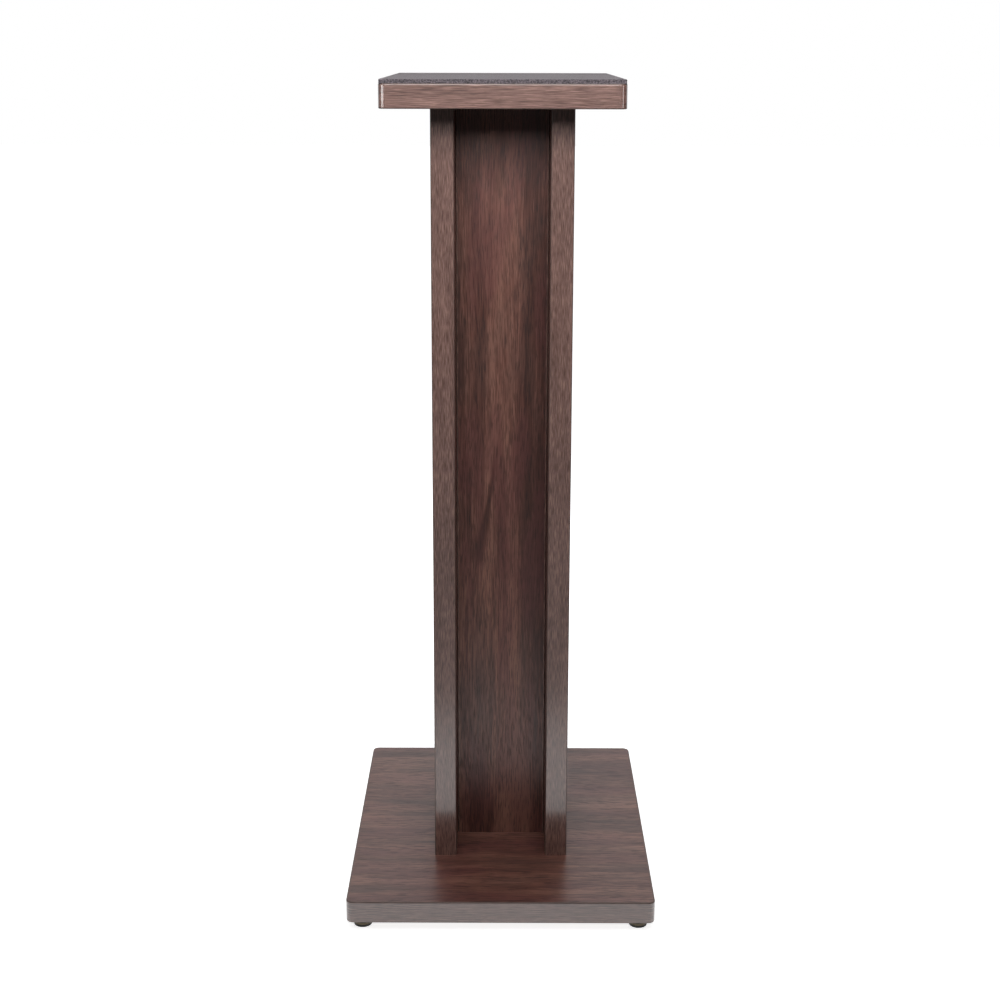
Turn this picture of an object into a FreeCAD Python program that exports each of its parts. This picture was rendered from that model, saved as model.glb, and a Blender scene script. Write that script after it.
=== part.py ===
"""Speaker stand: an H-shaped column of three panels between a base plate and a top plate.

Millimetres. +Z up, +X to the viewer's right, -Y towards the front. The origin is on the floor,
under the middle of the stand. One STEP file is written for each piece or group of like pieces.
"""
import FreeCAD, Part
import math
import os

# Plates
base_width = 340.0
base_depth = 415.0
base_thickness = 25.0
top_width = 250.0
top_depth = 340.0
top_thickness = 25.0
plate_corner_radius = 8.0

# Column: two side panels, and a centre panel that fills the space between them, set back
column_width = 152.0
column_depth = 194.0
column_height = 852.0
side_panel_thickness = 25.0
centre_panel_thickness = 25.0
centre_panel_setback = 58.0     # column's front to the centre panel's front face

# Edge banding glued round the boards
band_thickness = 2.0
arris_radius = 1.5              # rounded outer edges of the banding

# Foam pad on the top plate
pad_thickness = 4.5
pad_inset = 0.8                 # from the top plate's sides

# Joint bolts: button heads on washers, in counterbores
bolt_diameter = 6.0
bolt_length = 40.0              # under the head
bolt_head_diameter = 10.5
bolt_head_height = 3.3
bolt_head_flat_diameter = 6.0   # flat crown of the domed head, round the socket
bolt_socket_width = 4.0         # across the flats
bolt_socket_depth = 2.0
bolt_hole_clearance = 0.3       # on the radius, in the plates
washer_diameter = 12.0
washer_thickness = 1.6
washer_clearance = 0.2          # on the radius, round the bolt
counterbore_depth = 6.0
counterbore_clearance = 1.0     # on the radius, round the washer
side_bolt_inset = 52.0          # from the column's front and rear

# Insert nuts in the panels' ends
insert_diameter = 10.0
insert_length = 20.0
insert_flange_diameter = 13.0
insert_flange_thickness = 1.2
insert_fit = 0.05               # on the radius, in the board
thread_fit = 0.05               # on the radius, between screw and nut
bolt_tip_space = 4.0            # hole left past the bolt's tip

# Dowels between the plates and the panels
dowel_diameter = 8.0
dowel_length = 30.0
dowel_depth_in_plate = 12.0
dowel_fit = 0.05                # on the radius
dowel_glue_space = 1.0          # left past the dowel's end in the panel
side_dowel_inset = 22.0         # from the column's front and rear
centre_dowel_inset = 19.0       # from the centre panel's upright edges

# Levelling feet
foot_side_inset = 17.5          # foot's centre to the base's left or right side
foot_end_inset = 18.5           # foot's centre to the base's front or rear
foot_travel = 5.0               # how far a foot screws out
cup_diameter = 20.0             # and of the sole bonded under it
cup_height = 3.5
cup_edge_radius = 1.2           # rounded upper edge
sole_thickness = 2.5
collar_width = 12.0             # across the flats
collar_height = 4.0
stud_diameter = 8.0
stud_engagement = 7.0           # thread left in the nut when the foot is screwed out
neck_diameter = 5.0
retainer_diameter = 9.0
retainer_thickness = 1.2
swivel_fit = 0.05               # on the radius, neck and retainer in the cup
swivel_play = 0.3               # above and below the retainer
foot_insert_diameter = 12.0
foot_insert_length = 15.0
foot_insert_flange_diameter = 17.0
foot_insert_flange_thickness = 1.5
stud_tip_space = 2.0            # hole left past the stud's tip when screwed in

# Heights of the faces that meet, from the floor up
cup_top_z = sole_thickness + cup_height
base_bottom_z = cup_top_z + collar_height
base_top_z = base_bottom_z + base_thickness
column_top_z = base_top_z + column_height
top_plate_top_z = column_top_z + top_thickness

# Places that follow from the sizes above
side_panel_x = (column_width - side_panel_thickness) / 2
column_front_y = -column_depth / 2
centre_panel_y = column_front_y + centre_panel_setback + centre_panel_thickness / 2
centre_panel_width = column_width - 2 * side_panel_thickness
stud_length = stud_engagement + foot_travel     # above the collar

UP = 1
DOWN = -1


def box(x, y, z, width, depth, height):
    """A box centred on x and y, standing on z."""
    corner = FreeCAD.Vector(x - width / 2, y - depth / 2, z)
    return Part.makeBox(width, depth, height, corner)


def rod(x, y, z, diameter, height):
    """An upright cylinder, from z upwards."""
    return Part.makeCylinder(diameter / 2, height, FreeCAD.Vector(x, y, z))


def rod_along(x, y, z, diameter, length, way):
    """An upright cylinder from z, going up or down."""
    bottom = z if way == UP else z - length
    return rod(x, y, bottom, diameter, length)


def hexagon_prism(x, y, z, across_flats, height):
    """An upright hexagonal prism, from z upwards."""
    radius = across_flats / math.sqrt(3)
    corners = []
    for side in range(7):
        angle = math.radians(60 * side)
        corners.append(FreeCAD.Vector(x + radius * math.cos(angle), y + radius * math.sin(angle), z))
    face = Part.Face(Part.makePolygon(corners))
    return face.extrude(FreeCAD.Vector(0, 0, height))


def rounded_slab(width, depth, z, thickness, radius):
    """A flat slab centred on the origin, with rounded upright corners."""
    slab = box(0, 0, z, width, depth, thickness)
    upright = [edge for edge in slab.Edges if edge.BoundBox.ZLength > thickness / 2]
    return slab.makeFillet(radius, upright)


def edges_at_height(solid, z):
    """The edges that lie wholly at one height."""
    found = []
    for edge in solid.Edges:
        bounds = edge.BoundBox
        if abs(bounds.ZMin - z) < 0.001 and abs(bounds.ZMax - z) < 0.001:
            found.append(edge)
    return found


def write(name, solids):
    """Write one piece, or a group of separate like pieces, to its STEP file."""
    shape = solids[0] if len(solids) == 1 else Part.makeCompound(solids)
    shape.exportStep("parts/" + name + ".step")


# Where the fasteners go: (x, y) of each bolt and dowel, by panel

def bolt_places():
    """Two bolts in each side panel and one in the middle of the centre panel."""
    places = [(0.0, centre_panel_y)]
    bolt_y = column_depth / 2 - side_bolt_inset
    for x in (-side_panel_x, side_panel_x):
        for y in (-bolt_y, bolt_y):
            places.append((x, y))
    return places


def dowel_places():
    """Two dowels in each panel."""
    places = []
    dowel_x = centre_panel_width / 2 - centre_dowel_inset
    for x in (-dowel_x, dowel_x):
        places.append((x, centre_panel_y))
    dowel_y = column_depth / 2 - side_dowel_inset
    for x in (-side_panel_x, side_panel_x):
        for y in (-dowel_y, dowel_y):
            places.append((x, y))
    return places


def foot_places():
    """The four feet, by name."""
    x = base_width / 2 - foot_side_inset
    y = base_depth / 2 - foot_end_inset
    return {
        "front_left": (-x, -y),
        "front_right": (x, -y),
        "rear_left": (-x, y),
        "rear_right": (x, y),
    }


# Holes, made as the solids to cut away

def plate_fastener_holes(joint_z, outer_z, way):
    """Bolt holes, counterbores and dowel holes of a plate.

    joint_z is the face that meets the column, outer_z the face with the counterbores, and way
    points from the plate into the column.
    """
    thickness = abs(outer_z - joint_z)
    holes = []
    for x, y in bolt_places():
        holes.append(rod_along(x, y, outer_z, bolt_diameter + 2 * bolt_hole_clearance, thickness, way))
        wide = washer_diameter + 2 * counterbore_clearance
        holes.append(rod_along(x, y, outer_z, wide, counterbore_depth, way))
    for x, y in dowel_places():
        holes.append(rod_along(x, y, joint_z, dowel_diameter + 2 * dowel_fit, dowel_depth_in_plate, -way))
    return holes


def bolt_reach(plate_thickness):
    """How far a bolt's tip goes into a panel."""
    return bolt_length - (plate_thickness - counterbore_depth) - washer_thickness


def panel_end_holes(joint_z, way, plate_thickness):
    """Holes in the panels' ends, for the insert nuts and the dowels; way points into the panels."""
    holes = []
    depth = max(insert_length, bolt_reach(plate_thickness)) + bolt_tip_space
    for x, y in bolt_places():
        holes.append(rod_along(x, y, joint_z, insert_diameter + 2 * insert_fit, depth, way))
        flange = insert_flange_diameter + 2 * insert_fit
        holes.append(rod_along(x, y, joint_z, flange, insert_flange_thickness, way))
    depth = dowel_length - dowel_depth_in_plate + dowel_glue_space
    for x, y in dowel_places():
        holes.append(rod_along(x, y, joint_z, dowel_diameter + 2 * dowel_fit, depth, way))
    return holes


def foot_holes():
    """Blind holes in the base plate's underside, for the feet's insert nuts and studs."""
    depth = max(foot_insert_length, stud_length) + stud_tip_space
    holes = []
    for x, y in foot_places().values():
        holes.append(rod(x, y, base_bottom_z, foot_insert_diameter + 2 * insert_fit, depth))
        flange = foot_insert_flange_diameter + 2 * insert_fit
        holes.append(rod(x, y, base_bottom_z, flange, foot_insert_flange_thickness))
    return holes


# Boards and their edge bands

def plate_board(width, depth, z, thickness):
    """A plate's board, inside its edge band."""
    inner_radius = plate_corner_radius - band_thickness
    return rounded_slab(width - 2 * band_thickness, depth - 2 * band_thickness, z, thickness, inner_radius)


def plate_edge_band(width, depth, z, thickness):
    """The band round a plate, with rounded outer arrises."""
    outer = rounded_slab(width, depth, z, thickness, plate_corner_radius)
    arrises = edges_at_height(outer, z) + edges_at_height(outer, z + thickness)
    return outer.makeFillet(arris_radius, arrises).cut(plate_board(width, depth, z, thickness))


def make_plates():
    base = plate_board(base_width, base_depth, base_bottom_z, base_thickness)
    base = base.cut(plate_fastener_holes(base_top_z, base_bottom_z, UP) + foot_holes())
    write("base_plate", [base])
    write("base_plate_edge_band", [plate_edge_band(base_width, base_depth, base_bottom_z, base_thickness)])

    top = plate_board(top_width, top_depth, column_top_z, top_thickness)
    top = top.cut(plate_fastener_holes(column_top_z, top_plate_top_z, DOWN))
    write("top_plate", [top])
    write("top_plate_edge_band", [plate_edge_band(top_width, top_depth, column_top_z, top_thickness)])


def panel_edge_band(x, y, width, depth, outward):
    """A straight upright band; outward is the unit vector of its rounded face."""
    band = box(x, y, base_top_z, width, depth, column_height)
    arrises = []
    for edge in band.Edges:
        middle = edge.CenterOfMass.sub(FreeCAD.Vector(x, y, edge.CenterOfMass.z))
        if edge.BoundBox.ZLength > column_height / 2 and middle.dot(outward) > 0:
            arrises.append(edge)
    return band.makeFillet(arris_radius, arrises)


def make_side_panels(end_holes):
    board_depth = column_depth - 2 * band_thickness
    band_y = (column_depth - band_thickness) / 2
    for side, x in (("left", -side_panel_x), ("right", side_panel_x)):
        board = box(x, 0, base_top_z, side_panel_thickness, board_depth, column_height)
        write(side + "_side_panel", [board.cut(end_holes)])
        for end, y in (("front", -band_y), ("rear", band_y)):
            outward = FreeCAD.Vector(0, math.copysign(1, y), 0)
            band = panel_edge_band(x, y, side_panel_thickness, band_thickness, outward)
            write(side + "_side_panel_" + end + "_edge_band", [band])


def make_centre_panel(end_holes):
    board_width = centre_panel_width - 2 * band_thickness
    board = box(0, centre_panel_y, base_top_z, board_width, centre_panel_thickness, column_height)
    write("centre_panel", [board.cut(end_holes)])
    band_x = (centre_panel_width - band_thickness) / 2
    for side, x in (("left", -band_x), ("right", band_x)):
        outward = FreeCAD.Vector(math.copysign(1, x), 0, 0)
        band = panel_edge_band(x, centre_panel_y, band_thickness, centre_panel_thickness, outward)
        write("centre_panel_" + side + "_edge_band", [band])


def make_pad():
    width = top_width - 2 * pad_inset
    depth = top_depth - 2 * pad_inset
    write("top_pad", [box(0, 0, top_plate_top_z, width, depth, pad_thickness)])


# Fasteners of the column

def joint_bolt(x, y, head_z, way):
    """A button-head bolt whose head's underside is at head_z; way points from head to tip."""
    shank = rod_along(x, y, head_z, bolt_diameter, bolt_length, way)
    rim = bolt_head_diameter / 2
    crown = bolt_head_flat_diameter / 2
    dome_centre = (crown**2 + bolt_head_height**2 - rim**2) / (2 * bolt_head_height)
    dome = Part.makeSphere(math.hypot(rim, dome_centre), FreeCAD.Vector(x, y, head_z - way * dome_centre))
    head = rod_along(x, y, head_z, bolt_head_diameter, bolt_head_height, -way).common(dome)
    socket_z = head_z - bolt_head_height if way == UP else head_z + bolt_head_height - bolt_socket_depth
    socket = hexagon_prism(x, y, socket_z, bolt_socket_width, bolt_socket_depth)
    return head.fuse(shank).cut(socket)


def washer(x, y, seat_z, way):
    """A flat washer on the counterbore's floor at seat_z; way points from head to tip."""
    ring = rod_along(x, y, seat_z, washer_diameter, washer_thickness, -way)
    return ring.cut(rod_along(x, y, seat_z, bolt_diameter + 2 * washer_clearance, washer_thickness, -way))


def insert_nut(x, y, end_z, way, body, length, flange, flange_thickness, thread):
    """A flanged insert nut, flush with a board's face at end_z; way points into the board."""
    nut = rod_along(x, y, end_z, body, length, way)
    nut = nut.fuse(rod_along(x, y, end_z, flange, flange_thickness, way))
    return nut.cut(rod_along(x, y, end_z, thread + 2 * thread_fit, length, way))


def make_fasteners_at(end, joint_z, outer_z, way):
    """Bolts, washers, insert nuts and dowels between one plate and the column."""
    seat_z = outer_z + way * counterbore_depth
    head_z = seat_z - way * washer_thickness
    bolts = []
    washers = []
    nuts = []
    for x, y in bolt_places():
        bolts.append(joint_bolt(x, y, head_z, way))
        washers.append(washer(x, y, seat_z, way))
        nuts.append(insert_nut(x, y, joint_z, way, insert_diameter, insert_length,
                               insert_flange_diameter, insert_flange_thickness, bolt_diameter))
    write(end + "_joint_bolts", bolts)
    write(end + "_joint_washers", washers)
    write(end + "_panel_insert_nuts", nuts)

    dowel_end_z = joint_z - way * dowel_depth_in_plate
    dowels = []
    for x, y in dowel_places():
        dowels.append(rod_along(x, y, dowel_end_z, dowel_diameter, dowel_length, way))
    write(end + "_dowels", dowels)


# Levelling feet

def foot_stud(x, y):
    """Threaded stud, hexagonal collar, and the neck and retainer that hold the cup."""
    collar = hexagon_prism(x, y, cup_top_z, collar_width, collar_height)
    thread = rod(x, y, base_bottom_z, stud_diameter, stud_length)
    neck_bottom_z = sole_thickness + swivel_play
    neck = rod(x, y, neck_bottom_z, neck_diameter, cup_top_z - neck_bottom_z)
    retainer = rod(x, y, neck_bottom_z, retainer_diameter, retainer_thickness)
    return collar.fuse([thread, neck, retainer]).removeSplitter()


def foot_cup(x, y):
    """Round cup that swivels on the stud's neck, its pocket closed below by the sole."""
    cup = rod(x, y, sole_thickness, cup_diameter, cup_height)
    cup = cup.makeFillet(cup_edge_radius, edges_at_height(cup, cup_top_z))
    pocket_height = retainer_thickness + 2 * swivel_play
    retainer_pocket = rod(x, y, sole_thickness, retainer_diameter + 2 * swivel_fit, pocket_height)
    neck_hole = rod(x, y, sole_thickness, neck_diameter + 2 * swivel_fit, cup_height)
    return cup.cut([retainer_pocket, neck_hole])


def make_feet():
    nuts = []
    for name, (x, y) in foot_places().items():
        write(name + "_foot_stud", [foot_stud(x, y)])
        write(name + "_foot_cup", [foot_cup(x, y)])
        write(name + "_foot_sole", [rod(x, y, 0, cup_diameter, sole_thickness)])
        nuts.append(insert_nut(x, y, base_bottom_z, UP, foot_insert_diameter, foot_insert_length,
                               foot_insert_flange_diameter, foot_insert_flange_thickness, stud_diameter))
    write("foot_insert_nuts", nuts)


os.makedirs("parts", exist_ok=True)
make_plates()
holes_in_panel_ends = (panel_end_holes(base_top_z, UP, base_thickness)
                       + panel_end_holes(column_top_z, DOWN, top_thickness))
make_side_panels(holes_in_panel_ends)
make_centre_panel(holes_in_panel_ends)
make_pad()
make_fasteners_at("base", base_top_z, base_bottom_z, UP)
make_fasteners_at("top", column_top_z, top_plate_top_z, DOWN)
make_feet()
print("Height of the stand, mm:", top_plate_top_z + pad_thickness)
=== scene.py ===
"""Speaker stand of walnut-effect boards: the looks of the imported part.

Metres, in the part's own frame: +Z up, -Y towards the front, the origin on the floor under the middle.
The sections follow the stand as it is put together, from the boards to the feet.
"""
import math

import bpy
from mathutils import Matrix, Vector


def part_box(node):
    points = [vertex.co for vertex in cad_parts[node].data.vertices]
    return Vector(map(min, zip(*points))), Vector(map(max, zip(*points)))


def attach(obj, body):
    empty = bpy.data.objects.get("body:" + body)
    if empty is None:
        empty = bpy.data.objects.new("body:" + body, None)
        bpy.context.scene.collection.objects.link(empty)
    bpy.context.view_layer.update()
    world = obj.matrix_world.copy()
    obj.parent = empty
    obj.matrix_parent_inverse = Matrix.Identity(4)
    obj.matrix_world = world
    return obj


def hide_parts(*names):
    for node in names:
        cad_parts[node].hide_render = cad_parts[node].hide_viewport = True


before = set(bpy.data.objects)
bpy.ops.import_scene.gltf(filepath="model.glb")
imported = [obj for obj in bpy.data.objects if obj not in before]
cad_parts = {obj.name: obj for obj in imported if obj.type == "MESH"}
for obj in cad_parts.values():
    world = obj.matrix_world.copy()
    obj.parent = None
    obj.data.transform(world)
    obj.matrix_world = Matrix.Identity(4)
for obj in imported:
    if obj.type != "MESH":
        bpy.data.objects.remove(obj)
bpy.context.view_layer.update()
MM = 0.001


# Camera: a 60 mm lens, 1.87 m in front of the stand's middle and a little above its top plate, tilted
# down 13.4 degrees. Place, lens and angles, in radians, are the ones that put the stand's edges where
# the photograph has them.
camera_place = Vector((0.0004, -1.8732, 0.9524))
camera_tilt_down = 0.23358
camera_turn = 0.00133
camera_roll = 0.00244
camera_data = bpy.data.cameras.new("camera")
camera_data.sensor_width = 36.0
camera_data.lens = 60.23
camera_data.shift_y = -0.06
camera = bpy.data.objects.new("camera", camera_data)
bpy.context.collection.objects.link(camera)
camera.matrix_world = (
    Matrix.Translation(camera_place)
    @ Matrix.Rotation(camera_turn, 4, "Z")
    @ Matrix.Rotation(math.pi / 2 - camera_tilt_down, 4, "X")
    @ Matrix.Rotation(camera_roll, 4, "Z")
)
bpy.context.scene.camera = camera
bpy.context.scene.view_settings.view_transform = "Standard"


# Studio: soft boxes over the lens, over the stand and behind it, and a strip lamp at each side. The stand
# is on a white sheet that ends about half a metre in front of its middle. Past it the studio is dark, and
# behind the stand it is white.
def add(tree, kind, inputs=(), stops=(), **settings):
    """Adds a node with its settings, its inputs in order or by name, and a colour ramp's stops.

    An input is a value, another node's output, or another node, for the first output that it has in use.
    A colour mix takes its two colours as its inputs 6 and 7, a mix of numbers takes them as 2 and 3.
    """
    node = tree.nodes.new(kind)
    for name, value in settings.items():
        setattr(node, name, value)
    named = inputs if isinstance(inputs, dict) else dict(enumerate(inputs))
    for socket, value in named.items():
        if isinstance(value, bpy.types.Node):
            value = next(output for output in value.outputs if output.enabled)
        if isinstance(value, bpy.types.NodeSocket):
            tree.links.new(value, node.inputs[socket])
        else:
            node.inputs[socket].default_value = value
    for number, (place, colour) in enumerate(stops):
        elements = node.color_ramp.elements
        element = elements[number] if number < len(elements) else elements.new(place)
        element.position = place
        element.color = colour
    return node


def soft_box(name, place, aim, size, watts, spread=180):
    """A lamp with a soft cloth front; size is its width and height, spread its beam's angle."""
    light = bpy.data.lights.new(name, "AREA")
    light.shape = "RECTANGLE"
    light.size, light.size_y = size
    light.energy = watts
    light.spread = math.radians(spread)
    lamp = bpy.data.objects.new(name, light)
    bpy.context.collection.objects.link(lamp)
    lamp.location = place
    lamp.rotation_mode = "QUATERNION"
    lamp.rotation_quaternion = (Vector(aim) - Vector(place)).to_track_quat("-Z", "Y")
    return lamp


# The lamp over the lens is high enough to leave the dark shadow under the top plate.
soft_box("soft_box_over_lens", (0, -0.90, 1.225), (0, -0.10, 0.85), (1.2, 0.37), 3.55, 90)
soft_box("soft_box_over_stand", (0, -0.30, 2.3), (0, -0.30, 0.0), (0.9, 0.9), 14.5)
# The strip lamps only draw the bright lines in the top plate's lacquered corners, the left one wider.
top_plate_height = 0.89
for side, way, width, watts in (("left", -1, 0.80, 1.60), ("right", 1, 0.24, 0.36)):
    strip_place = (way * 1.05, -0.85, 0.87)
    strip = soft_box("side_lamp_" + side, strip_place, (0, -0.10, top_plate_height), (width, 0.06), watts)
    strip.visible_diffuse = False
# Reflections show the white backdrop in the place of the lamp behind the stand.
behind = soft_box("soft_box_behind", (0, 1.50, 1.15), (0, 0.10, 0.55), (2.0, 1.4), 12.0)
behind.visible_glossy = False


def seen_rays(tree):
    """1 for what the camera, a reflection or a clear piece shows, 0 for the light that things get."""
    rays = add(tree, "ShaderNodeLightPath").outputs
    shown = add(tree, "ShaderNodeMath", [rays["Is Camera Ray"], rays["Is Glossy Ray"]], operation="MAXIMUM")
    shown = add(tree, "ShaderNodeMath", [shown, rays["Is Transmission Ray"]], operation="MAXIMUM")
    return shown, rays["Is Camera Ray"]


white = (1.0, 1.0, 1.0, 1.0)
world = bpy.data.worlds.new("white_studio")
bpy.context.scene.world = world
world.use_nodes = True
tree = world.node_tree
tree.nodes.clear()
shown, to_camera = seen_rays(tree)
ray_way = add(tree, "ShaderNodeSeparateXYZ", [add(tree, "ShaderNodeTexCoord").outputs["Object"]]).outputs
# The camera sees white all round. Reflections see it behind the stand and next to none in front, and the
# light that the stand gets from the backdrop falls from above.
white_in_gloss = add(tree, "ShaderNodeMapRange", [ray_way["Y"], 0.0, 0.65, 0.02, 0.85],
                     interpolation_type="SMOOTHSTEP")
white_behind = add(tree, "ShaderNodeMath", [to_camera, white_in_gloss], operation="MAXIMUM")
skylight = add(tree, "ShaderNodeMapRange", [ray_way["Z"], 0.0, 0.9, 0.0, 0.20],
               interpolation_type="SMOOTHSTEP")
strength = add(tree, "ShaderNodeMix", {"Factor": shown, 2: skylight, 3: white_behind})
backdrop = add(tree, "ShaderNodeBackground", {"Color": white, "Strength": strength})
add(tree, "ShaderNodeOutputWorld", {"Surface": backdrop})

floor_reach = 14.0
floor_below_soles = 0.2 * MM
corners = [(-1, -1), (1, -1), (1, 1), (-1, 1)]
floor_points = [(x * floor_reach, y * floor_reach, -floor_below_soles) for x, y in corners]
mesh = bpy.data.meshes.new("studio_floor")
mesh.from_pydata(floor_points, [], [(0, 1, 2, 3)])
floor = bpy.data.objects.new("studio_floor", mesh)
bpy.context.collection.objects.link(floor)
floor_paint = bpy.data.materials.new("white studio floor")
mesh.materials.append(floor_paint)
floor_paint.use_nodes = True
tree = floor_paint.node_tree
tree.nodes.clear()
shown, to_camera = seen_rays(tree)
position = add(tree, "ShaderNodeTexCoord").outputs["Object"]
from_middle = add(tree, "ShaderNodeVectorMath", [position], operation="LENGTH").outputs["Value"]
# What is seen of the floor: white paper with the stand's own shadow, whose glow fades in reflections
# where the sheet ends.
white_to_camera = add(tree, "ShaderNodeMapRange", [from_middle, 0.25, 0.9, 0.85, 1.0],
                      interpolation_type="SMOOTHSTEP")
white_in_gloss = add(tree, "ShaderNodeMapRange", [from_middle, 0.49, 0.73, 1.0, 0.02],
                     interpolation_type="SMOOTHSTEP")
glow = add(tree, "ShaderNodeMix", {"Factor": to_camera, 2: white_in_gloss, 3: white_to_camera})
glowing = add(tree, "ShaderNodeEmission", {"Color": white, "Strength": glow})
paper = add(tree, "ShaderNodeBsdfDiffuse", {"Color": (0.8, 0.8, 0.8, 1)})
seen_floor = add(tree, "ShaderNodeAddShader", [glowing, paper])
# What the floor throws back on the stand: little, and next to nothing from past the sheet.
thrown_back = add(tree, "ShaderNodeMapRange", [from_middle, 0.45, 0.90, 0.30, 0.05],
                  interpolation_type="SMOOTHSTEP")
dim_floor = add(tree, "ShaderNodeBsdfDiffuse", {"Color": thrown_back})
top_side = add(tree, "ShaderNodeMixShader", [shown, dim_floor, seen_floor])
# The camera looks through the floor from underneath.
backfacing = add(tree, "ShaderNodeNewGeometry").outputs["Backfacing"]
underneath = add(tree, "ShaderNodeMath", [backfacing, to_camera], operation="MULTIPLY")
clear = add(tree, "ShaderNodeBsdfTransparent")
surface = add(tree, "ShaderNodeMixShader", [underneath, top_side, clear])
add(tree, "ShaderNodeOutputMaterial", {"Surface": surface})


# Boards: 25 mm medium-density fibreboard with a printed and lightly embossed walnut foil on both faces,
# cut to size and drilled. The CAD nodes are the boards; the fibreboard shows only in the drilled holes.
# The print runs upwards on the column's panels and from side to side on the plates.
def paint(code):
    """An sRGB hex colour as linear red, green, blue and alpha."""
    parts = [int(code[i:i + 2], 16) / 255 for i in (0, 2, 4)]
    return [p / 12.92 if p <= 0.04045 else ((p + 0.055) / 1.055) ** 2.4 for p in parts] + [1.0]


walnut_light = paint("885F52")
walnut_middle = paint("664138")
walnut_dark = paint("432620")
walnut_streak = paint("21120F")
walnut_rosy = paint("6B3F3D")
walnut_grey = paint("4E443F")
fibreboard_light = paint("B69A72")
fibreboard_dark = paint("8F744F")


def new_finish(name):
    finish = bpy.data.materials.new(name)
    finish.use_nodes = True
    finish.node_tree.nodes.clear()
    return finish, finish.node_tree


def streaks(tree, grain, across, along, detail, shift=0.0):
    """Noise drawn out along the grain; across and along are its features' sizes in millimetres."""
    size = (1 / (across * MM), 1 / (across * 6 * MM), 1 / (along * MM))
    place = add(tree, "ShaderNodeMapping", {"Vector": grain, "Scale": size, "Location": (shift, shift, 0)})
    return add(tree, "ShaderNodeTexNoise",
               {"Vector": place, "Scale": 1.0, "Detail": detail, "Roughness": 0.55})


def walnut_grain(tree, across, depth, along, wander):
    """The print's own coordinates: across the grain, through it and along it.

    The grain leaves the straight line by up to about wander millimetres, as in flat-sawn wood.
    """
    straight = add(tree, "ShaderNodeCombineXYZ", [across, depth, along])
    slow_bends = streaks(tree, straight, 60, 260, 1.0, 3.0)
    bend = add(tree, "ShaderNodeMath", [slow_bends, 0.5], operation="SUBTRACT")
    wandering = add(tree, "ShaderNodeMath", [bend, wander * MM, across], operation="MULTIPLY_ADD")
    return add(tree, "ShaderNodeCombineXYZ", [wandering, depth, along])


def walnut_print(tree, grain, figure_and_painted_light):
    """Printed walnut's colour, and where its embossed pores are. figure is the slow light and dark of the
    print;
    on the centre panel it also holds painted light and shade.

    Rays and pores are drawn about three times as wide as in real walnut, or the render wouldn't show them.
    """
    rays = streaks(tree, grain, 1.2, 34, 4.0, 7.0)
    tone = add(tree, "ShaderNodeMix", {"Factor": 0.5, 2: figure_and_painted_light, 3: rays})
    wood = add(tree, "ShaderNodeValToRGB", [tone],
               stops=[(0.37, walnut_dark), (0.49, walnut_middle), (0.61, walnut_light)])
    warmth = streaks(tree, grain, 30, 130, 1.0, 41.0)
    rosy = add(tree, "ShaderNodeMapRange", [warmth, 0.46, 0.62, 0.0, 0.42], interpolation_type="SMOOTHSTEP")
    grey = add(tree, "ShaderNodeMapRange", [warmth, 0.32, 0.46, 0.15, 0.0], interpolation_type="SMOOTHSTEP")
    veins = streaks(tree, grain, 6, 110, 1.0, 19.0)
    mineral = add(tree, "ShaderNodeMapRange", [veins, 0.62, 0.76, 0.0, 0.45],
                  interpolation_type="SMOOTHSTEP")
    vessels = streaks(tree, grain, 0.9, 16, 1.0, 29.0)
    pores = add(tree, "ShaderNodeMapRange", [vessels, 0.52, 0.62, 0.0, 1.0],
                interpolation_type="SMOOTHSTEP")
    pore_ink = add(tree, "ShaderNodeMath", [pores, 0.55], operation="MULTIPLY")
    for share, ink in ((rosy, walnut_rosy), (grey, walnut_grey), (mineral, walnut_streak),
                       (pore_ink, walnut_streak)):
        wood = add(tree, "ShaderNodeMix", {0: share, 6: wood, 7: ink}, data_type="RGBA")
    return wood, pores


def heartwood_figure_and_painted_light(tree, figure_and_painted_light, across, along):
    """The centre panel's heartwood pattern: pale up its middle, darker on the right, and a dark streak;
    painted light and shade make it lighter low down and darker upwards.
    """
    middle = add(tree, "ShaderNodeMapRange", [along, 60 * MM, 560 * MM, 10 * MM, -1 * MM])
    from_middle = add(tree, "ShaderNodeMath", [across, middle], operation="SUBTRACT")
    from_middle = add(tree, "ShaderNodeMath", [from_middle], operation="ABSOLUTE")
    pale = add(tree, "ShaderNodeMapRange", [from_middle, 8 * MM, 36 * MM, 0.14, -0.04],
               interpolation_type="SMOOTHSTEP")
    right_side = add(tree, "ShaderNodeMapRange", [across, 10 * MM, 34 * MM, 0.0, -0.10],
                     interpolation_type="SMOOTHSTEP")
    # Painted light and shade, not the wood: lighter low down and darker upwards.
    painted_light_by_height = add(tree, "ShaderNodeMapRange", [along, 150 * MM, 600 * MM, 0.02, -0.05],
                  interpolation_type="SMOOTHSTEP")
    # The streak of mineral slants upwards to the right, narrows as it rises and fades at both its ends.
    line = add(tree, "ShaderNodeMapRange", [along, 385 * MM, 520 * MM, -27 * MM, -2 * MM])
    width = add(tree, "ShaderNodeMapRange", [along, 370 * MM, 440 * MM, 13 * MM, 5 * MM])
    beside = add(tree, "ShaderNodeMath", [across, line], operation="SUBTRACT")
    beside = add(tree, "ShaderNodeMath", [beside], operation="ABSOLUTE")
    beside = add(tree, "ShaderNodeMath", [beside, width], operation="DIVIDE")
    dark = add(tree, "ShaderNodeMapRange", [beside, 0.0, 1.0, -0.50, 0.0], interpolation_type="SMOOTHSTEP")
    for fade in ((360 * MM, 400 * MM, 0.0, 1.0), (460 * MM, 525 * MM, 1.0, 0.0)):
        kept = add(tree, "ShaderNodeMapRange", [along, *fade], interpolation_type="SMOOTHSTEP")
        dark = add(tree, "ShaderNodeMath", [dark, kept], operation="MULTIPLY")
    for change in (pale, right_side, painted_light_by_height, dark):
        figure_and_painted_light = add(tree, "ShaderNodeMath", [figure_and_painted_light, change], operation="ADD")
    return figure_and_painted_light


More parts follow.
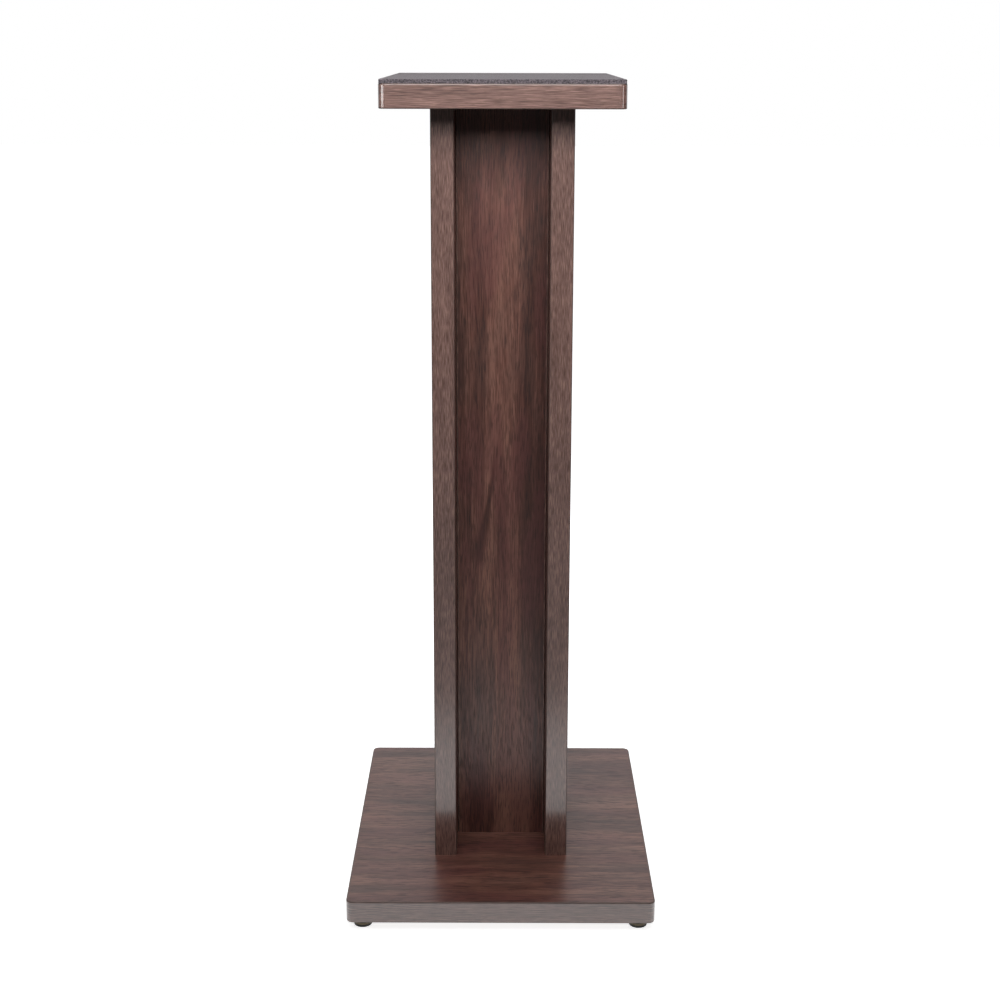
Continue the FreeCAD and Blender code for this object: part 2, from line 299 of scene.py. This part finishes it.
def faced_board(name, grain_way, face_way, faces, wander, heartwood):
    """A board's finish. faces are the two heights, along face_way, of the foil faces.

    The foil gives a satin gloss with fine dark pores, pressed in a little and duller; the bare fibreboard
    in the holes is pale brown, matt and speckled.
    """
    finish, tree = new_finish(name)
    position = add(tree, "ShaderNodeTexCoord").outputs["Object"]
    place = add(tree, "ShaderNodeSeparateXYZ", [position]).outputs
    across_way = ({"X", "Y", "Z"} - {grain_way, face_way}).pop()
    grain = walnut_grain(tree, place[across_way], place[face_way], place[grain_way], wander)
    figure_and_painted_light = streaks(tree, grain, 20, 300, 2.0)
    # On the centre panel, painted light and shade by height are added to the slow light and dark.
    if heartwood:
        across = add(tree, "ShaderNodeSeparateXYZ", [grain]).outputs["X"]
        figure_and_painted_light = heartwood_figure_and_painted_light(tree, figure_and_painted_light, across, place[grain_way])
    wood, pores = walnut_print(tree, grain, figure_and_painted_light)
    foil_depth = 0.1 * MM
    above = add(tree, "ShaderNodeMath", [place[face_way], faces[0] + foil_depth], operation="GREATER_THAN")
    below = add(tree, "ShaderNodeMath", [place[face_way], faces[1] - foil_depth], operation="LESS_THAN")
    inside = add(tree, "ShaderNodeMath", [above, below], operation="MULTIPLY")
    # Bundles of fibres, 1.1 mm long.
    fibres = add(tree, "ShaderNodeTexNoise", {"Vector": position, "Scale": 900.0, "Detail": 3.0})
    core = add(tree, "ShaderNodeValToRGB", [fibres],
               stops=[(0.35, fibreboard_dark), (0.65, fibreboard_light)])
    colour = add(tree, "ShaderNodeMix", {0: inside, 6: wood, 7: core}, data_type="RGBA")
    foil_gloss = add(tree, "ShaderNodeMath", [pores, 0.12, 0.32], operation="MULTIPLY_ADD")
    core_gloss = add(tree, "ShaderNodeMath", [inside, 0.85], operation="MULTIPLY")
    rough = add(tree, "ShaderNodeMath", [foil_gloss, core_gloss], operation="MAXIMUM")
    emboss = add(tree, "ShaderNodeMath", [1.0, pores], operation="SUBTRACT")
    relief = add(tree, "ShaderNodeBump", {"Strength": 0.35, "Distance": 0.06 * MM, "Height": emboss})
    surface = add(tree, "ShaderNodeBsdfPrincipled",
                  {"Base Color": colour, "Roughness": rough, "Normal": relief, "IOR": 1.56})
    add(tree, "ShaderNodeOutputMaterial", {"Surface": surface})
    return finish


for board, grain_way, face_way, wander in (
    ("base_plate", "X", "Z", 30),
    ("top_plate", "X", "Z", 30),
    ("left_side_panel", "Z", "X", 22),
    ("right_side_panel", "Z", "X", 22),
    ("centre_panel", "Z", "Y", 14),
):
    low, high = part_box(board)
    level = "XYZ".index(face_way)
    name = "walnut foil, embossed, on fibreboard, " + board.replace("_", " ")
    heartwood = board == "centre_panel"
    finish = faced_board(name, grain_way, face_way, (low[level], high[level]), wander, heartwood)
    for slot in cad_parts[board].material_slots:
        slot.material = finish


# Edge bands: 2 mm walnut-printed plastic band, lacquered, hot-glued round the boards' edges and trimmed
# with a 1.5 mm rounded arris. The trimming bares the plastic's plain body along the arrises and at the
# cut ends. Its darker colour there is partly that body and partly painted shade along the arrises.
band_thickness = 2.0 * MM
arris_radius = 1.5 * MM
plate_corner_radius = 8.0 * MM
band_light = paint("96746A")
band_middle = paint("785850")
band_dark = paint("543A32")
# The arrises' colour is darker than the print: partly the band's plain body, partly painted shade.
band_body_and_painted_shade = paint("66514A")


def banded_edge(name, upright):
    """The band's finish; its streaks run along the band, also round the plates' corners.

    It reads lighter than the faces, in fine broken streaks that are drawn about twice as wide as the real
    ones, under a lacquer with a clear gloss; the trimmed arrises are plain, duller and darker, partly with
    painted shade.
    """
    finish, tree = new_finish(name)
    coordinates = add(tree, "ShaderNodeTexCoord").outputs
    place = add(tree, "ShaderNodeSeparateXYZ", [coordinates["Object"]]).outputs
    level = add(tree, "ShaderNodeMath", [place["X"], place["Y"]], operation="ADD")
    across, along = (level, place["Z"]) if upright else (place["Z"], level)
    grain = walnut_grain(tree, across, 0.0, along, 2)
    rays = streaks(tree, grain, 0.7, 13 if upright else 26, 3.0, 5.0)
    slow = streaks(tree, grain, 9, 150, 1.0, 11.0)
    tone = add(tree, "ShaderNodeMix", {"Factor": 0.80, 2: slow, 3: rays})
    wood = add(tree, "ShaderNodeValToRGB", [tone],
               stops=[(0.40, band_dark), (0.50, band_middle), (0.60, band_light)])
    vessels = streaks(tree, grain, 0.8, 12, 1.0, 23.0)
    pores = add(tree, "ShaderNodeMapRange", [vessels, 0.53, 0.64, 0.0, 0.45],
                interpolation_type="SMOOTHSTEP")
    wood = add(tree, "ShaderNodeMix", {0: pores, 6: wood, 7: band_dark}, data_type="RGBA")
    # A normal that leaves the edge's own plane shows where the band is trimmed, and where painted shade
    # darkens the arrises.
    facing = add(tree, "ShaderNodeSeparateXYZ", [coordinates["Normal"]]).outputs
    turned = add(tree, "ShaderNodeMath", [facing["Z"]], operation="ABSOLUTE")
    if upright:
        facing_x = add(tree, "ShaderNodeMath", [facing["X"]], operation="ABSOLUTE")
        facing_y = add(tree, "ShaderNodeMath", [facing["Y"]], operation="ABSOLUTE")
        slanting = add(tree, "ShaderNodeMath", [facing_x, facing_y], operation="MINIMUM")
        turned = add(tree, "ShaderNodeMath", [turned, slanting], operation="MAXIMUM")
    trimmed_and_shaded = add(tree, "ShaderNodeMath", [turned, 0.25], operation="GREATER_THAN")
    # Painted shade, with the band's plain body: the arrises take the darker colour.
    colour = add(tree, "ShaderNodeMix", {0: trimmed_and_shaded, 6: wood, 7: band_body_and_painted_shade}, data_type="RGBA")
    relief = add(tree, "ShaderNodeBump", {"Strength": 0.3, "Distance": 0.05 * MM, "Height": rays})
    rough = add(tree, "ShaderNodeMath", [trimmed_and_shaded, 0.16, 0.34], operation="MULTIPLY_ADD")
    lacquer = add(tree, "ShaderNodeMath", [1.0, trimmed_and_shaded], operation="SUBTRACT")
    surface = add(tree, "ShaderNodeBsdfPrincipled",
                  {"Base Color": colour, "Roughness": rough, "Normal": relief, "IOR": 1.54,
                   "Coat Weight": lacquer, "Coat Roughness": 0.14, "Coat IOR": 1.66})
    add(tree, "ShaderNodeOutputMaterial", {"Surface": surface})
    return finish


def named_input(tree, name, kind, value=None):
    socket = tree.interface.new_socket(name, in_out="INPUT", socket_type=kind)
    if value is not None:
        socket.default_value = value


def set_inputs(modifier, values):
    for item in modifier.node_group.interface.items_tree:
        if item.item_type == "SOCKET" and item.in_out == "INPUT" and item.name in values:
            modifier[item.identifier] = values[item.name]


def band_along_path():
    """Geometry nodes: a band with two rounded arrises, swept along the curve that carries it."""
    tree = bpy.data.node_groups.new("edge band along a board's edge", "GeometryNodeTree")
    tree.interface.new_socket("Geometry", in_out="INPUT", socket_type="NodeSocketGeometry")
    named_input(tree, "Thickness", "NodeSocketFloat", band_thickness)
    named_input(tree, "Width", "NodeSocketFloat")
    named_input(tree, "Arris radius", "NodeSocketFloat", arris_radius)
    named_input(tree, "Turn", "NodeSocketFloat")
    named_input(tree, "Finish", "NodeSocketMaterial")
    tree.interface.new_socket("Geometry", in_out="OUTPUT", socket_type="NodeSocketGeometry")
    given = add(tree, "NodeGroupInput").outputs
    strip = add(tree, "GeometryNodeCurvePrimitiveQuadrilateral",
                {"Width": given["Thickness"], "Height": given["Width"]})
    place = add(tree, "ShaderNodeSeparateXYZ", [add(tree, "GeometryNodeInputPosition")]).outputs
    outer = add(tree, "ShaderNodeMath", [place["X"], 0.0], operation="GREATER_THAN")
    radius = add(tree, "ShaderNodeMath", [outer, given["Arris radius"]], operation="MULTIPLY")
    section = add(tree, "GeometryNodeFilletCurve",
                  {"Curve": strip, "Radius": radius, "Count": 6}, mode="POLY")
    turn = add(tree, "ShaderNodeCombineXYZ", {"Z": given["Turn"]})
    turned = add(tree, "GeometryNodeTransform", {"Geometry": section, "Rotation": turn})
    swept = add(tree, "GeometryNodeCurveToMesh",
                {"Curve": given["Geometry"], "Profile Curve": turned, "Fill Caps": True})
    whole = add(tree, "GeometryNodeRealizeInstances", [swept])
    painted = add(tree, "GeometryNodeSetMaterial", {"Geometry": whole, "Material": given["Finish"]})
    add(tree, "NodeGroupOutput", [painted])
    return tree


def smooth_but_crisp(obj, angle=35):
    """Smooth shading over rounds, with hard edges kept and flat faces left flat."""
    for face in obj.data.polygons:
        face.use_smooth = True
    obj.data.set_sharp_from_angle(angle=math.radians(angle))
    level = obj.modifiers.new("flat faces stay flat", "WEIGHTED_NORMAL")
    level.keep_sharp = True


def plain_mesh(name, maker):
    """The finished mesh of an object with geometry nodes, as an object of its own at the origin."""
    evaluated = maker.evaluated_get(bpy.context.evaluated_depsgraph_get())
    mesh = bpy.data.meshes.new_from_object(evaluated)
    mesh.name = name
    made = bpy.data.objects.new(name, mesh)
    bpy.context.collection.objects.link(made)
    bpy.data.objects.remove(maker)
    return made


def belongs(obj, body, slot, *nodes):
    """obj rides on a body and stands for those CAD nodes; slot is not used."""
    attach(obj, body)
    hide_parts(*nodes)


def rounded_outline(x, y, radius, steps=16):
    """Points round a rectangle with rounded corners, anticlockwise from the middle of the rear edge."""
    points = [(0, y)]
    for middle_x, middle_y, start in ((-x + radius, y - radius, 90), (-x + radius, -y + radius, 180),
                                      (x - radius, -y + radius, 270), (x - radius, y - radius, 0)):
        for step in range(steps + 1):
            angle = math.radians(start + 90 * step / steps)
            points.append((middle_x + radius * math.cos(angle), middle_y + radius * math.sin(angle)))
    return points


band_tree = band_along_path()


def swept_band(name, points, closed, width, turn, finish):
    """One edge band along its path; turn is the way, about the vertical, that its outer face looks."""
    curve = bpy.data.curves.new(name + " path", "CURVE")
    curve.dimensions = "3D"
    curve.twist_mode = "Z_UP"
    spline = curve.splines.new("POLY")
    spline.points.add(len(points) - 1)
    for point, place in zip(spline.points, points):
        point.co = (*place, 1.0)
    spline.use_cyclic_u = closed
    maker = bpy.data.objects.new(name + " path", curve)
    bpy.context.collection.objects.link(maker)
    modifier = maker.modifiers.new("edge band", "NODES")
    modifier.node_group = band_tree
    set_inputs(modifier, {"Thickness": band_thickness, "Width": width, "Arris radius": arris_radius,
                          "Turn": turn, "Finish": finish})
    band = plain_mesh(name, maker)
    smooth_but_crisp(band)
    belongs(band, "stand", "edge_band", name.removesuffix("_trim"))


plate_band_finish = banded_edge("walnut plastic edge band, lacquered, round the plates", False)
for plate in ("base_plate", "top_plate"):
    low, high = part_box(plate + "_edge_band")
    middle = (low.z + high.z) / 2
    inset = band_thickness / 2
    outline = rounded_outline(high.x - inset, high.y - inset, plate_corner_radius - inset)
    path = [(x, y, middle) for x, y in outline]
    swept_band(plate + "_edge_band_trim", path, True, high.z - low.z, 0.0, plate_band_finish)

upright_band_finish = banded_edge("walnut plastic edge band, lacquered, on the panels", True)
for panel, ends in (
    ("left_side_panel", {"front": -90, "rear": 90}),
    ("right_side_panel", {"front": -90, "rear": 90}),
    ("centre_panel", {"left": 180, "right": 0}),
):
    for end, facing in ends.items():
        name = panel + "_" + end + "_edge_band"
        low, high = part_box(name)
        centre = (low + high) / 2
        width = max(high.x - low.x, high.y - low.y)
        path = [(centre.x, centre.y, low.z), (centre.x, centre.y, high.z)]
        swept_band(name + "_trim", path, False, width, math.radians(facing), upright_band_finish)


# Pad: a 4.5 mm sheet of grey closed-cell foam, die-cut with square corners to 0.8 mm less than the top
# plate all round, and glued on. The die draws the cut edge in slightly.
foam_light = paint("6A6066")
foam_dark = paint("2C272B")
foam_cell = 1.5
pad_corner_radius = 0.6 * MM
# The edge from the underside up to the top face: how far in and how far down from the top, in mm.
pad_section = ((0.0, 4.5), (0.15, 3.6), (0.2, 2.2), (0.1, 1.2), (0.12, 0.7), (0.35, 0.3), (0.8, 0.1),
               (2.0, 0.02), (5.0, 0.0))


def foam_sheet():
    """Matt foam with a faint sheen, speckled by its cells, which are drawn three times their real size."""
    finish, tree = new_finish("closed-cell foam sheet, die-cut")
    position = add(tree, "ShaderNodeTexCoord").outputs["Object"]
    cells = add(tree, "ShaderNodeTexNoise",
                {"Vector": position, "Scale": 1 / (foam_cell * MM), "Detail": 2.0, "Roughness": 0.7})
    colour = add(tree, "ShaderNodeValToRGB", [cells], stops=[(0.38, foam_dark), (0.62, foam_light)])
    relief = add(tree, "ShaderNodeBump", {"Strength": 0.6, "Distance": 0.3 * MM, "Height": cells})
    surface = add(tree, "ShaderNodeBsdfPrincipled",
                  {"Base Color": colour, "Roughness": 0.70, "Normal": relief, "IOR": 1.45,
                   "Sheen Weight": 0.07, "Sheen Roughness": 0.4})
    add(tree, "ShaderNodeOutputMaterial", {"Surface": surface})
    return finish


def lofted(name, rings, finish, ends="capped"):
    """A shell through rings with the same number of points, capped, or joined into a loop."""
    count = len(rings[0])
    points = [point for ring in rings for point in ring]
    faces = []
    pairs = list(zip(range(len(rings) - 1), range(1, len(rings))))
    if ends == "joined":
        pairs.append((len(rings) - 1, 0))
    else:
        faces.append(list(reversed(range(count))))
        faces.append([(len(rings) - 1) * count + i for i in range(count)])
    for lower, upper in pairs:
        for i in range(count):
            j = (i + 1) % count
            faces.append((lower * count + i, lower * count + j, upper * count + j, upper * count + i))
    mesh = bpy.data.meshes.new(name)
    mesh.from_pydata(points, [], faces)
    mesh.materials.append(finish)
    made = bpy.data.objects.new(name, mesh)
    bpy.context.collection.objects.link(made)
    return made


pad_low, pad_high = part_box("top_pad")
pad_rings = []
for inset, drop in pad_section:
    outline = rounded_outline(pad_high.x - inset * MM, pad_high.y - inset * MM, pad_corner_radius, 3)
    pad_rings.append([(x, y, pad_high.z - drop * MM) for x, y in outline])
pad = lofted("foam_pad", pad_rings, foam_sheet())
smooth_but_crisp(pad, 60)
belongs(pad, "stand", "foam", "top_pad")


# Joint bolts: M6 x 40 button-head screws of blackened steel with a 4 mm hexagon socket, five through
# each plate from a counterbore, with a thread that was rolled. Sizes are in millimetres, as are those of
# the washers, nuts, dowels and feet.
blackened = paint("2B2927")
bolt_thread = 6.0
bolt_pitch = 1.0
bolt_length = 40.0
head_radius = 5.25
head_height = 3.3
crown_radius = 3.0
socket_across_flats = 4.0
socket_depth = 2.0


def metal_finish(name, colour, metallic, roughness, grain):
    """Bare or coated steel, a little uneven in tone and gloss, in patches of grain millimetres."""
    finish, tree = new_finish(name)
    position = add(tree, "ShaderNodeTexCoord").outputs["Object"]
    uneven = add(tree, "ShaderNodeTexNoise", {"Vector": position, "Scale": 1 / (grain * MM), "Detail": 3.0})
    rough = add(tree, "ShaderNodeMath", [uneven, 0.24, roughness - 0.12], operation="MULTIPLY_ADD")
    dull = [part * 0.72 for part in colour[:3]] + [1.0]
    clean = add(tree, "ShaderNodeMapRange", [uneven, 0.35, 0.65, 0.0, 1.0], interpolation_type="SMOOTHSTEP")
    mixed = add(tree, "ShaderNodeMix", {0: clean, 6: dull, 7: colour}, data_type="RGBA")
    surface = add(tree, "ShaderNodeBsdfPrincipled",
                  {"Base Color": mixed, "Metallic": metallic, "Roughness": rough})
    add(tree, "ShaderNodeOutputMaterial", {"Surface": surface})
    return finish


def round_ring(radius, z, count=24):
    """A ring about the Z axis; the radius is a number or follows the angle."""
    ring = []
    for i in range(count):
        angle = math.tau * i / count
        r = radius(angle) if callable(radius) else radius
        ring.append((r * math.cos(angle) * MM, r * math.sin(angle) * MM, z * MM))
    return ring


def hexagon(across_flats):
    """A hexagon's radius by angle."""
    return lambda angle: across_flats / 2 / math.cos((angle + math.pi / 6) % (math.pi / 3) - math.pi / 6)


def thread_rings(outer, pitch, start, end, steps=6, count=24):
    """Rings of a screw thread from start to end, with its crest at outer and its tip chamfered."""
    depth = 0.61 * pitch
    rings = []
    rows = round(abs(end - start) / pitch * steps)
    for row in range(rows + 1):
        z = start + (end - start) * row / rows
        chamfer = min(1.0, (rows - row) / steps)

        def radius(angle, z=z, chamfer=chamfer):
            phase = (z / pitch - angle / math.tau) % 1.0
            groove = depth * min(1.0, abs(2 * phase - 1) * 1.25)
            return outer - max(groove, depth * (1 - chamfer))
        rings.append(round_ring(radius, z, count))
    return rings


def button_head_bolt():
    """A bolt with its head's underside at the origin and its thread upwards."""
    socket = hexagon(socket_across_flats)
    dome_centre = (head_radius**2 - crown_radius**2 - head_height**2) / (2 * head_height)
    dome_radius = math.hypot(head_radius, dome_centre)
    socket_floor = socket_depth - head_height
    rings = [round_ring(0.2, socket_floor + 0.4), round_ring(socket, socket_floor),
             round_ring(socket, -head_height + 0.15), round_ring(lambda a: socket(a) + 0.15, -head_height)]
    for step in range(6):
        z = -head_height + (head_height - 0.2) * step / 5
        rings.append(round_ring(math.sqrt(dome_radius**2 - (z - dome_centre)**2), z))
    rings.append(round_ring(head_radius - 0.15, 0.0))
    rings.append(round_ring(bolt_thread / 2 - 0.6, 0.0))
    return lofted("bolt pattern", rings + thread_rings(bolt_thread / 2, bolt_pitch, 0.4, bolt_length), None)


def set_out_copies():
    """Geometry nodes: a fastener at each point, turned by chance about its own axis, as screws end up."""
    tree = bpy.data.node_groups.new("copies of a fastener at its places", "GeometryNodeTree")
    tree.interface.new_socket("Geometry", in_out="INPUT", socket_type="NodeSocketGeometry")
    named_input(tree, "Fastener", "NodeSocketObject")
    named_input(tree, "Tilt", "NodeSocketFloat", 0.0)
    named_input(tree, "Most turn", "NodeSocketFloat", math.tau)
    named_input(tree, "Seed", "NodeSocketInt", 1)
    named_input(tree, "Finish", "NodeSocketMaterial")
    tree.interface.new_socket("Geometry", in_out="OUTPUT", socket_type="NodeSocketGeometry")
    given = add(tree, "NodeGroupInput").outputs
    piece = add(tree, "GeometryNodeObjectInfo", {"Object": given["Fastener"]}).outputs["Geometry"]
    chance = add(tree, "FunctionNodeRandomValue", {3: given["Most turn"], "Seed": given["Seed"]},
                 data_type="FLOAT")
    turn = add(tree, "ShaderNodeCombineXYZ", {"X": given["Tilt"], "Z": chance})
    copies = add(tree, "GeometryNodeInstanceOnPoints",
                 {"Points": given["Geometry"], "Instance": piece, "Rotation": turn})
    whole = add(tree, "GeometryNodeRealizeInstances", [copies])
    painted = add(tree, "GeometryNodeSetMaterial", {"Geometry": whole, "Material": given["Finish"]})
    add(tree, "NodeGroupOutput", [painted])
    return tree


copies_tree = set_out_copies()


def placed(name, pattern, places, finish, tilt=0.0, seed=1, angle=35):
    """Copies of the pattern at the places, as one plain mesh."""
    points = bpy.data.meshes.new(name + " places")
    points.from_pydata(places, [], [])
    maker = bpy.data.objects.new(name + " places", points)
    bpy.context.collection.objects.link(maker)
    modifier = maker.modifiers.new("set out", "NODES")
    modifier.node_group = copies_tree
    set_inputs(modifier, {"Fastener": pattern, "Tilt": tilt, "Most turn": math.tau, "Seed": seed,
                          "Finish": finish})
    copies = plain_mesh(name, maker)
    smooth_but_crisp(copies, angle)
    return copies


def centres_of(node, count):
    """The upright axes of a node's like solids, by grouping its points."""
    solids_stand_apart = 20 * MM
    points = [v.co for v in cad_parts[node].data.vertices]
    found = []
    for p in points:
        for group in found:
            if math.hypot(group[0].x - p.x, group[0].y - p.y) < solids_stand_apart:
                group.append(p)
                break
        else:
            found.append([p])
    centres = []
    for group in found:
        xs = [p.x for p in group]
        ys = [p.y for p in group]
        centres.append(((min(xs) + max(xs)) / 2, (min(ys) + max(ys)) / 2))
    assert len(centres) == count, (node, len(centres))
    return centres


# Black oxide leaves the steel near black with a soft, slightly cloudy gloss.
black_steel = metal_finish("blackened screw steel", blackened, 0.85, 0.42, 1.5)
bolt_pattern = button_head_bolt()
for plate, tilt in (("base", 0.0), ("top", math.pi)):
    node = plate + "_joint_bolts"
    low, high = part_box(node)
    seat = low.z + head_height * MM if tilt == 0.0 else high.z - head_height * MM
    places = [(x, y, seat) for x, y in centres_of(node, 5)]
    bolts = placed(plate + "_button_head_bolts", bolt_pattern, places, black_steel, tilt, seed=3)
    belongs(bolts, "stand", "black_steel", node)
bpy.data.objects.remove(bolt_pattern)


# Washers: flat 12 mm washers of zinc-plated steel, punched, one under each bolt's head. Zinc plate is a
# pale, slightly warm grey, and softly mirrors what is round it.
zinc = paint("BDBBB3")
zinc_steel = metal_finish("zinc-plated steel, pressed", zinc, 1.0, 0.34, 2.0)
# Radius and height round the section, with the punch's rounded edges.
washer_section = ((5.8, 0.0), (6.0, 0.2), (6.0, 1.45), (5.85, 1.6), (3.35, 1.6), (3.2, 1.4), (3.2, 0.2),
                  (3.35, 0.0))
washer_pattern = lofted("washer pattern", [round_ring(r, z, 40) for r, z in washer_section], None, "joined")
for plate in ("base", "top"):
    node = plate + "_joint_washers"
    places = [(x, y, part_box(node)[0].z) for x, y in centres_of(node, 5)]
    washers = placed(plate + "_flat_washers", washer_pattern, places, zinc_steel)
    belongs(washers, "stand", "zinc_steel", node)
bpy.data.objects.remove(washer_pattern)


# Insert nuts: zinc-plated sleeves with a flange and a coarse thread outside, screwed into the boards.
# The M6 ones in the panels' ends take the joint bolts, and the M8 ones under the base take the feet.
insert_thread_pitch = 1.7


def insert_nut(name, body, length, flange, flange_thickness, bore):
    """A sleeve with its flange at the origin; body, flange and bore are radii."""
    outside = [(bore + 0.35, 0.0), (flange - 0.2, 0.0), (flange, 0.2), (flange, flange_thickness - 0.2),
               (flange - 0.2, flange_thickness), (body - 0.9, flange_thickness)]
    inside = [(body - 0.9, length), (bore + 0.35, length), (bore, length - 0.35), (bore, 0.35)]
    rings = [round_ring(r, z, 32) for r, z in outside]
    rings += thread_rings(body, insert_thread_pitch, flange_thickness + 0.3, length - 0.1, 6, 32)
    rings += [round_ring(r, z, 32) for r, z in inside]
    return lofted(name, rings, None, "joined")


panel_nut = insert_nut("panel insert nut pattern", 5.0, 20.0, 6.5, 1.2, 3.05)
for plate, tilt in (("base", 0.0), ("top", math.pi)):
    node = plate + "_panel_insert_nuts"
    low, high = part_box(node)
    joint = low.z if tilt == 0.0 else high.z
    places = [(x, y, joint) for x, y in centres_of(node, 5)]
    nuts = placed(plate + "_threaded_insert_nuts", panel_nut, places, zinc_steel, tilt, seed=5)
    belongs(nuts, "stand", "zinc_steel", node)
foot_nut = insert_nut("foot insert nut pattern", 6.0, 15.0, 8.5, 1.5, 4.05)
places = [(x, y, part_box("foot_insert_nuts")[0].z) for x, y in centres_of("foot_insert_nuts", 4)]
nuts = placed("foot_threaded_insert_nuts", foot_nut, places, zinc_steel, 0.0, seed=8)
belongs(nuts, "stand", "zinc_steel", "foot_insert_nuts")
bpy.data.objects.remove(panel_nut)
bpy.data.objects.remove(foot_nut)


# Dowels: 8 x 30 mm fluted beech dowels, six at each end of the column, glued into the plates and the
# panels to hold them in line.
beech_light = paint("D9B98B")
beech_dark = paint("B98F5E")
dowel_flutes = 18
flute_depth = 0.3
dowel_section = ((2.9, 0.0), (4.0, 1.1), (4.0, 28.9), (2.9, 30.0))


def turned_beech():
    """Raw beech: pale, warm and matt, with flecks along the grain, drawn twice as wide as real ones."""
    finish, tree = new_finish("turned beech, raw")
    position = add(tree, "ShaderNodeTexCoord").outputs["Object"]
    place = add(tree, "ShaderNodeSeparateXYZ", [position]).outputs
    across = add(tree, "ShaderNodeMath", [place["X"], place["Y"]], operation="ADD")
    grain = add(tree, "ShaderNodeCombineXYZ", [across, place["Y"], place["Z"]])
    flecks = streaks(tree, grain, 0.8, 12, 3.0)
    colour = add(tree, "ShaderNodeValToRGB", [flecks], stops=[(0.35, beech_dark), (0.62, beech_light)])
    surface = add(tree, "ShaderNodeBsdfPrincipled", {"Base Color": colour, "Roughness": 0.62, "IOR": 1.5})
    add(tree, "ShaderNodeOutputMaterial", {"Surface": surface})
    return finish


def fluted(outer):
    """A dowel's radius by angle."""
    return lambda angle: outer - flute_depth / 2 + flute_depth / 2 * math.cos(dowel_flutes * angle)


dowel_pattern = lofted("dowel pattern", [round_ring(fluted(r), z, 72) for r, z in dowel_section], None)
beech = turned_beech()
for plate in ("base", "top"):
    node = plate + "_dowels"
    places = [(x, y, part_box(node)[0].z) for x, y in centres_of(node, 6)]
    dowels = placed(plate + "_fluted_dowels", dowel_pattern, places, beech, 0.0, seed=2)
    belongs(dowels, "stand", "dowel_wood", node)
bpy.data.objects.remove(dowel_pattern)


# Levelling feet: an M8 zinc-plated stud with a hexagonal collar screws into the base. Its neck is held
# in a cast cup with an antique bronze coat, which swivels, and a black rubber sole is glued under it.
bronze = paint("5A5144")
rubber_light = paint("24221F")
rubber_dark = paint("141312")
rubber_speck = 0.9
stud_thread = 8.0
stud_pitch = 1.25
# The bronze coat is a dull greenish brown that shines a little where the casting is smooth.
bronze_coat = metal_finish("antique bronze coat on cast zinc", bronze, 0.9, 0.36, 1.2)


def moulded_rubber():
    """Black rubber, matt and faintly speckled by the mould's skin; its specks are drawn coarse."""
    finish, tree = new_finish("moulded rubber, matt")
    position = add(tree, "ShaderNodeTexCoord").outputs["Object"]
    specks = add(tree, "ShaderNodeTexNoise",
                 {"Vector": position, "Scale": 1 / (rubber_speck * MM), "Detail": 2.0})
    colour = add(tree, "ShaderNodeValToRGB", [specks], stops=[(0.35, rubber_dark), (0.65, rubber_light)])
    relief = add(tree, "ShaderNodeBump", {"Strength": 0.3, "Distance": 0.05 * MM, "Height": specks})
    surface = add(tree, "ShaderNodeBsdfPrincipled",
                  {"Base Color": colour, "Roughness": 0.66, "IOR": 1.5, "Normal": relief})
    add(tree, "ShaderNodeOutputMaterial", {"Surface": surface})
    return finish


def levelling_stud():
    """Retainer, neck, collar and thread, from the floor's height up."""
    collar = hexagon(12.0)
    retainer_and_neck = ((4.3, 2.8), (4.5, 3.0), (4.5, 3.8), (4.3, 4.0), (2.5, 4.0), (2.5, 6.0))
    rings = [round_ring(r, z) for r, z in retainer_and_neck]
    for z, most in ((6.0, 5.95), (6.25, 6.5), (6.6, 7.0), (9.4, 7.0), (9.75, 6.5), (10.0, 5.95)):
        rings.append(round_ring(lambda angle, most=most: min(collar(angle), most), z))
    rings.append(round_ring(3.3, 10.0))
    return lofted("stud pattern", rings + thread_rings(stud_thread / 2, stud_pitch, 10.1, 22.0, 8), None)


def quarter(centre_r, centre_z, radius, start):
    """Six points of a rounded edge, from an angle in degrees on."""
    points = []
    for step in range(6):
        angle = math.radians(start + 18 * step)
        points.append((centre_r + radius * math.cos(angle), centre_z + radius * math.sin(angle)))
    return points


# Radius and height round the cup's section, and from the sole's ribbed underside up.
cup_section = [(9.8, 2.5), (10.0, 2.7)] + quarter(8.8, 4.8, 1.2, 0)
cup_section += [(2.85, 6.0), (2.55, 5.7), (2.55, 4.3), (4.55, 4.3), (4.55, 2.5)]
sole_section = ((1.2, 0.35), (1.5, 0.0), (3.0, 0.0), (3.3, 0.35), (4.3, 0.35), (4.6, 0.0), (9.6, 0.0),
                (9.88, 0.12), (10.0, 0.4), (10.0, 2.35), (9.85, 2.5))
stud_pattern = levelling_stud()
cup_pattern = lofted("cup pattern", [round_ring(r, z, 64) for r, z in cup_section], None, "joined")
sole_pattern = lofted("sole pattern", [round_ring(r, z, 64) for r, z in sole_section], None)
rubber = moulded_rubber()
for corner in ("front_left", "front_right", "rear_left", "rear_right"):
    low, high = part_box(corner + "_foot_sole")
    centre = (low + high) / 2
    for part, pattern, finish, body, slot, angle in (
        ("threaded_stud", stud_pattern, zinc_steel, "stud", "zinc_steel", 35),
        ("swivel_cup", cup_pattern, bronze_coat, "foot", "foot_bronze", 35),
        ("rubber_sole", sole_pattern, rubber, "foot", "foot_rubber", 25),
    ):
        node = corner + "_foot_" + part.rsplit("_", 1)[1]
        piece = placed(corner + "_" + part, pattern, [(centre.x, centre.y, 0.0)], finish, angle=angle)
        belongs(piece, corner + "_" + body, slot, node)
for pattern in (stud_pattern, cup_pattern, sole_pattern):
    bpy.data.objects.remove(pattern)
